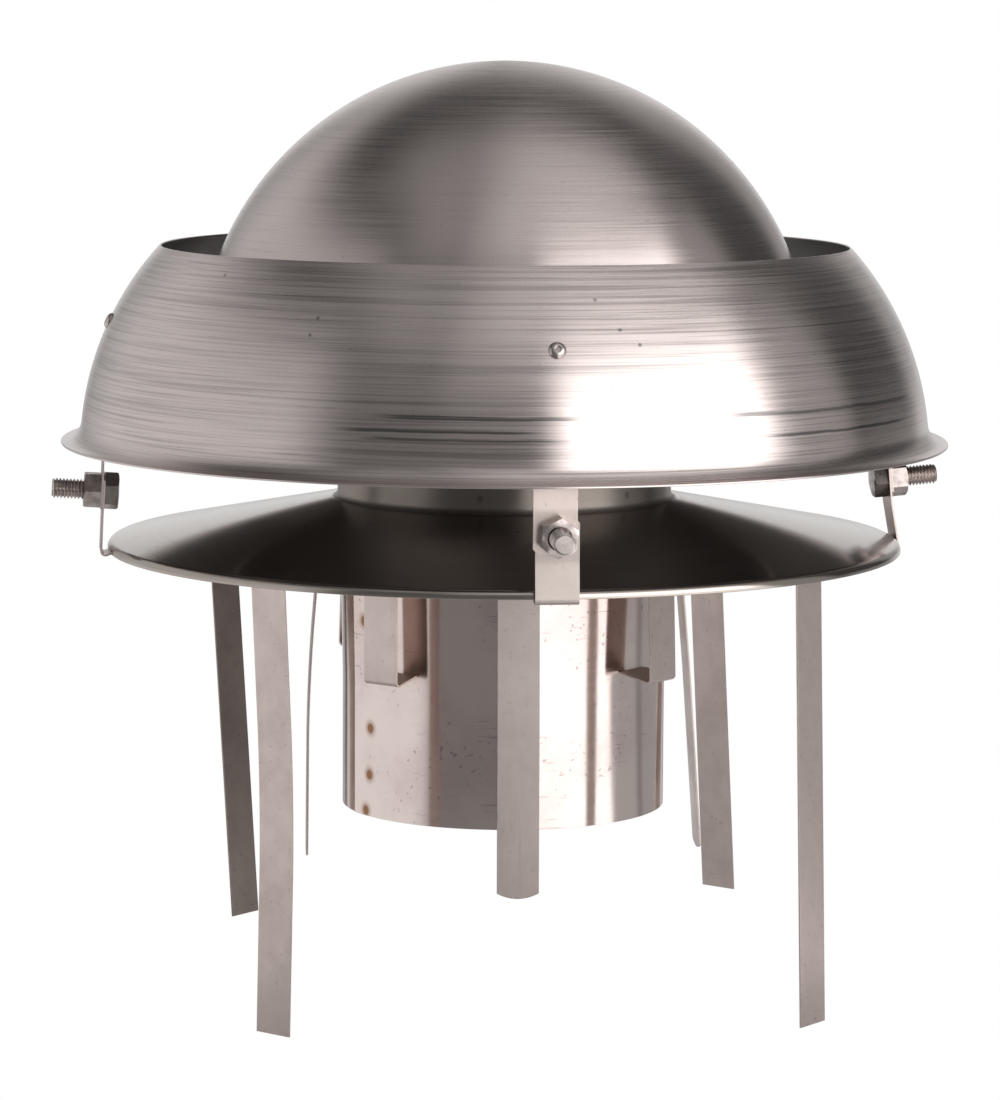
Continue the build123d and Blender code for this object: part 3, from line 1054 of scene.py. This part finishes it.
@dataclass
class Surround:
    """A soft panel of light far off, as a patch of the world.

    For a panel overhead, the azimuth is instead how far it lies to the camera's right, and the elevation
    how far up from the camera's side and on over the top.

    Attributes:
        azimuth: its middle, in degrees from the camera's side towards the right.
        elevation: its middle, in degrees above the floor.
        half_width: degrees to each side.
        half_height: degrees up and down.
        softness: how many degrees its edge takes.
        strength: how much it adds.
    """

    azimuth: float
    elevation: float
    half_width: float
    half_height: float
    softness: float
    strength: float

    def light(self, shader: Shader, azimuth: Number, elevation: Number) -> Wire:
        """What the panel adds in a direction.

        Args:
            shader: the world's or the floor's shader.
            azimuth: the direction's azimuth in degrees.
            elevation: its elevation in degrees.

        Returns:
            The light.
        """
        off = shader.maths("ABSOLUTE", shader.maths("WRAP", azimuth - self.azimuth, 180.0, -180.0))
        rise = shader.maths("ABSOLUTE", elevation - self.elevation)
        soft = self.softness / 2
        across = shader.step(off, self.half_width + soft, self.half_width - soft)
        up = shader.step(rise, self.half_height + soft, self.half_height - soft)
        return across * up * self.strength


@dataclass
class Studio:
    """The pale floor, the soft surround and the camera at the photo's view.

    Attributes:
        camera_azimuth: where the camera stands, in degrees from the front.
        camera_pitch: how many degrees it looks down.
        camera_roll: how many degrees it is rolled.
        camera_distance: how far from the axis it stands.
        camera_height: its height.
        camera_left: how far it is moved to its left.
        camera_reach: how far it sees.
        lens: its focal length in millimetres.
        floor_size: the floor's width.
        painted_shadow_glow: how bright the floor is to the object near it, dimmed there as a painted shadow.
        painted_shadow_radius: how far that painted shadow goes.
        painted_shadow_edge: the share of painted_shadow_radius, to each side, over which it changes.
        floor_limit: the brightest that the floor is to the object.
        ambient: the light that comes from everywhere.
        panels: the panels round the object.
        overhead: the panels above it.
        below: what the floor alone shows.
    """

    camera_azimuth: float = -6.9
    camera_pitch: float = 7.2615
    camera_roll: float = 0.28775
    camera_distance: float = 1.962689
    camera_height: float = 0.44958
    camera_left: float = 0.00184
    camera_reach: float = 200.0
    lens: float = 139.152
    floor_size: float = 60.0
    painted_shadow_glow: float = 0.5
    painted_shadow_radius: float = 0.3
    painted_shadow_edge: float = 0.2
    floor_limit: float = 1.7
    ambient: float = 0.08
    panels: tuple[Surround, ...] = (
        Surround(-99.0, 10.0, 47.0, 28.0, 22.0, 0.64),
        Surround(180.0, 18.0, 34.0, 24.0, 14.0, 0.31),
        Surround(180.0, 8.0, 16.0, 24.0, 16.0, 0.42),
        Surround(-4.0, 45.0, 14.0, 22.0, 12.0, 0.20),
        Surround(-18.0, 18.0, 34.0, 34.0, 20.0, 0.08),
        Surround(46.0, 15.5, 31.0, 21.5, 11.0, 3.2),
        Surround(91.0, 13.0, 16.0, 26.0, 8.0, 0.36),
    )
    overhead: tuple[Surround, ...] = (
        Surround(7.0, 74.0, 38.0, 29.0, 22.0, 0.28),
        Surround(18.0, 72.0, 19.0, 31.0, 20.0, 0.34),
    )
    below: tuple[Surround, ...] = (
        Surround(-90.0, 0.0, 40.0, 20.0, 10.0, 0.18),
        Surround(136.0, 0.0, 26.0, 20.0, 10.0, 0.30),
        Surround(-18.0, 0.0, 30.0, 20.0, 14.0, 0.06),
    )

    def camera(self) -> None:
        """The camera, a little left of the axis and rolled as the photo's was."""
        data = bpy.data.cameras.new("camera")
        data.lens = self.lens
        data.clip_end = self.camera_reach
        camera = bpy.data.objects.new("camera", data)
        bpy.context.scene.collection.objects.link(camera)
        turn = Matrix.Rotation(math.radians(self.camera_azimuth), 4, "Z")
        tilt = Matrix.Rotation(math.radians(90.0 - self.camera_pitch), 4, "X")
        roll = Matrix.Rotation(math.radians(self.camera_roll), 4, "Z")
        rotation = turn @ tilt @ roll
        place = compass(self.camera_azimuth) * self.camera_distance
        place.z = self.camera_height
        place -= rotation.to_3x3() @ Vector((self.camera_left, 0.0, 0.0))
        camera.matrix_world = Matrix.Translation(place) @ rotation
        bpy.context.scene.camera = camera

    def across(self, shader: Shader, x: Wire, y: Wire) -> tuple[Wire, Wire]:
        """Turns a level place or direction to the camera's own sides.

        Args:
            shader: the world's or the floor's shader, which is not used.
            x: its x.
            y: its y.

        Returns:
            How far it lies to the camera's right, and how far towards the camera.
        """
        turn = math.radians(self.camera_azimuth)
        return x * math.cos(turn) + y * math.sin(turn), x * math.sin(turn) - y * math.cos(turn)

    def world(self) -> None:
        """Soft panels round and over a dim room, with plain white behind the object for the camera."""
        world = bpy.data.worlds.new("studio")
        bpy.context.scene.world = world
        shader = Shader(world)
        x, y, z = shader.apart(shader.wire(shader.node("ShaderNodeTexCoord"), "Generated"))
        right, front = self.across(shader, x, y)
        azimuth = shader.maths("ARCTAN2", right, front) * DEGREES
        elevation = shader.maths("ARCSINE", z) * DEGREES
        aside = shader.maths("ARCSINE", right) * DEGREES
        over = shader.maths("ARCTAN2", z, front) * DEGREES
        light: Number = self.ambient
        for panel in self.panels:
            light = panel.light(shader, azimuth, elevation) + light
        for panel in self.overhead:
            light = panel.light(shader, aside, over) + light
        seen = shader.wire(shader.node("ShaderNodeLightPath"), "Is Camera Ray")
        light = light * (1 - seen) + seen
        colour = shader.vector(light, light, light)
        background = shader.node("ShaderNodeBackground", Color=colour, Strength=1.0)
        shader.node("ShaderNodeOutputWorld", Surface=shader.wire(background))

    def floor(self) -> None:
        """The plain pale floor: white to the camera, and to the object as bright as the room beyond."""
        mesh = bmesh.new()
        bmesh.ops.create_grid(mesh, x_segments=1, y_segments=1, size=self.floor_size / 2)
        data = bpy.data.meshes.new("floor")
        mesh.to_mesh(data)
        mesh.free()
        floor = bpy.data.objects.new("floor", data)
        bpy.context.scene.collection.objects.link(floor)
        material = bpy.data.materials.new("pale_floor")
        shader = Shader(material)
        x, y, _ = shader.apart(shader.place())
        right, front = self.across(shader, x, y)
        azimuth = shader.maths("ARCTAN2", right, front) * DEGREES
        away = shader.maths("SQRT", x * x + y * y)
        light: Number = self.ambient
        for panel in (*self.panels, *self.below):
            light = panel.light(shader, azimuth, 0.0) + light
        # Painted shadow: near the object the floor is dimmed, standing for the object's shadow on it.
        edge = self.painted_shadow_radius * self.painted_shadow_edge
        beyond = shader.step(away, self.painted_shadow_radius - edge, self.painted_shadow_radius + edge)
        light = shader.maths("MINIMUM", light, self.floor_limit) * beyond + (1 - beyond) * self.painted_shadow_glow
        seen = shader.wire(shader.node("ShaderNodeLightPath"), "Is Camera Ray")
        colour = shader.vector(light, light, light)
        glow = shader.wire(shader.node("ShaderNodeEmission", Color=colour, Strength=1.0))
        plain = shader.wire(shader.node("ShaderNodeEmission", Color=(1.0, 1.0, 1.0, 1.0), Strength=1.0))
        mixed = shader.wire(shader.node("ShaderNodeMixShader", in0=seen, in1=glow, in2=plain))
        shader.node("ShaderNodeOutputMaterial", Surface=mixed)
        data.materials.append(material)
        floor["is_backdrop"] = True

    def build(self) -> None:
        """Sets up the studio."""
        bpy.context.scene.view_settings.view_transform = "Standard"
        self.camera()
        self.world()
        self.floor()


@dataclass
class Cowl:
    """The whole cowl: its turned, bent and bolted pieces.

    Attributes:
        nodes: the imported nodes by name.
        parts: the record's parts, each with its node and its material slot.
        clamps: where each bolted clamp is.
        welds: the middles of the spot welds in the spigot's lap seam.
        skirt_marks: the dimples of the skirt, and as the last two the marks on its neck.
        ring_pits: the larger pits of the ring.
        tool_lines: the dark lines on the ring.
    """

    nodes: dict[str, bpy.types.Object]
    parts: list[dict[str, str]]

    clamps: ClassVar[dict[str, ClampPlace]] = {
        "front": ClampPlace(0.0, 0.0028, 0.0275, -2.0, 8.0, 24.0),
        "right": ClampPlace(90.0, -0.0027, 0.0301, 5.0, 10.0, 25.0),
        "back": ClampPlace(180.0, 0.0018, 0.0275, 3.0, 20.0, 12.0),
        "left": ClampPlace(270.0, 0.0022, 0.0275, 3.5, 20.0, 0.0),
    }
    welds: ClassVar[tuple[Point, ...]] = (
        (-0.0679, -0.0325, 0.1717),
        (-0.0658, -0.0367, 0.1226),
        (-0.0661, -0.0360, 0.1010),
        (-0.0674, -0.0335, 0.0841),
    )
    skirt_marks: ClassVar[tuple[Point, ...]] = (
        (-0.1703, -0.0041, 0.2078),
        (-0.1632, -0.0436, 0.2081),
        (-0.1130, -0.1270, 0.2079),
        (-0.0978, 0.0004, 0.2216),
        (-0.0815, 0.0071, 0.2247),
        (-0.0696, -0.0736, 0.2210),
        (-0.0064, -0.1029, 0.2206),
        (-0.0200, -0.0748, 0.2322),
        (0.0485, -0.0603, 0.2317),
    )
    ring_pits: ClassVar[tuple[Point, ...]] = (
        (0.0176, -0.1693, 0.3274),
        (0.0274, -0.1758, 0.3151),
        (0.0357, -0.1777, 0.3089),
        (-0.0980, -0.1462, 0.3185),
        (-0.1016, -0.1485, 0.3115),
        (-0.1347, -0.0961, 0.3338),
    )
    tool_lines: ClassVar[tuple[Streak, ...]] = (
        Streak(0.2792, -22.0, 2.0, 0.0013),
        Streak(0.2785, 23.0, 62.0, 0.0014),
        Streak(0.2735, -27.0, -4.0, 0.0012),
        Streak(0.2700, -24.0, 0.0, 0.0012),
        Streak(0.2690, 30.0, 58.0, 0.0008),
    )

    def finishes(self) -> dict[str, Steel]:
        """Every finish by its name."""
        spun = {"slot": Slot.SPUN, "across": BRUSHED_ROUND}
        satin = {"anisotropy": 0.2, "across": 0.0}
        dome = SpunSteel(
            "dome_steel",
            **spun,
            colour=(0.58, 0.505, 0.483),
            roughness=0.26,
            anisotropy=0.8,
            streaking=0.15,
            lining=0.16,
            inside=(0.0, 0.2837, 0.1416),
        )
        ring = SpunSteel(
            "ring_steel",
            **spun,
            colour=(0.67, 0.585, 0.56),
            roughness=0.28,
            anisotropy=0.88,
            streaking=0.6,
            lining=0.5,
            spots=self.ring_pits,
            tool_lines=self.tool_lines,
            inside=(0.0557, 0.2464, 0.1398),
        )
        skirt = SpunSteel(
            "skirt_steel",
            **spun,
            colour=(0.42, 0.37, 0.335),
            roughness=0.17,
            anisotropy=0.8,
            streaking=0.2,
            lining=0.12,
            spots=self.skirt_marks,
            spot_size=0.002,
            neck=0.0786,
        )
        spigot = RolledSteel(
            "spigot_steel", Slot.SPIGOT, (0.75, 0.65, 0.61), 0.16, 0.75, BRUSHED_ROUND, welds=self.welds
        )
        strips = (
            ("strip_steel", (0.62, 0.525, 0.49), 0.34, (0.42, 0.35, 0.32)),
            ("brown_strip", (0.30, 0.25, 0.228), 0.36, (0.18, 0.148, 0.132)),
            ("pale_strip", (0.52, 0.45, 0.42), 0.32, (0.38, 0.32, 0.295)),
        )
        steels: list[Steel] = [dome, ring, skirt, spigot]
        for name, colour, roughness, mottle in strips:
            steels.append(StripSteel(name, Slot.STRIP, colour, roughness, mottle=mottle, **satin))
        steels.append(TurnedSteel("fastener_steel", Slot.FASTENER, (0.55, 0.485, 0.46), 0.3, **satin))
        steels.append(TurnedSteel("rivet_steel", Slot.RIVET, (0.54, 0.475, 0.45), 0.24, **satin))
        return {steel.name: steel for steel in steels}

    def pieces(self) -> list[Piece]:
        """Every visible piece."""
        steels = self.finishes()
        by_slot = {slot: steels[slot.value] for slot in (Slot.SPIGOT, Slot.STRIP, Slot.RIVET)}
        by_node = {
            "long_strap_back_left": steels["brown_strip"],
            "short_strap_front": steels["pale_strip"],
            "skirt_bracket_front": steels["pale_strip"],
        }
        made: list[Piece] = [
            Dome("spun_dome", steels["dome_steel"], ("dome",)),
            HoodRing("spun_ring", steels["ring_steel"], ("hood_ring",)),
            Skirt("spun_skirt", steels["skirt_steel"], ("skirt",), sharp=30.0),
        ]
        steel = steels["fastener_steel"]
        for side, clamp in self.clamps.items():
            made.append(Bolt(f"bolt_{side}", steel, (f"clamp_bolt_{side}",), sharp=35.0, place=clamp))
            made.append(Nut(f"nut_{side}", steel, (f"clamp_nut_{side}",), sharp=25.0, place=clamp))
        for part in self.parts:
            slot = Slot(part["material_slot"])
            if slot in by_slot:
                node = part["node"]
                finish = by_node.get(node, by_slot[slot])
                made.append(Eased(f"{node}_eased", finish, (node,), source=self.nodes[node]))
        return made

    def build(self) -> None:
        """Makes every piece."""
        for piece in self.pieces():
            piece.build()


def main() -> dict[str, Any]:
    """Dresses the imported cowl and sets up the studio.

    Returns:
        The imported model's and the dressed model's boxes.
    """
    logging.basicConfig(level=logging.INFO, format="%(name)s: %(message)s")
    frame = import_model()
    packed = [list(corner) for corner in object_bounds()]
    Cowl(frame["nodes"], frame["record"]["subparts"]).build()
    Studio().build()
    return {"packed": packed, "dressed": [list(corner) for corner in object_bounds()]}


if __name__ == "__main__":
    sizes = main()
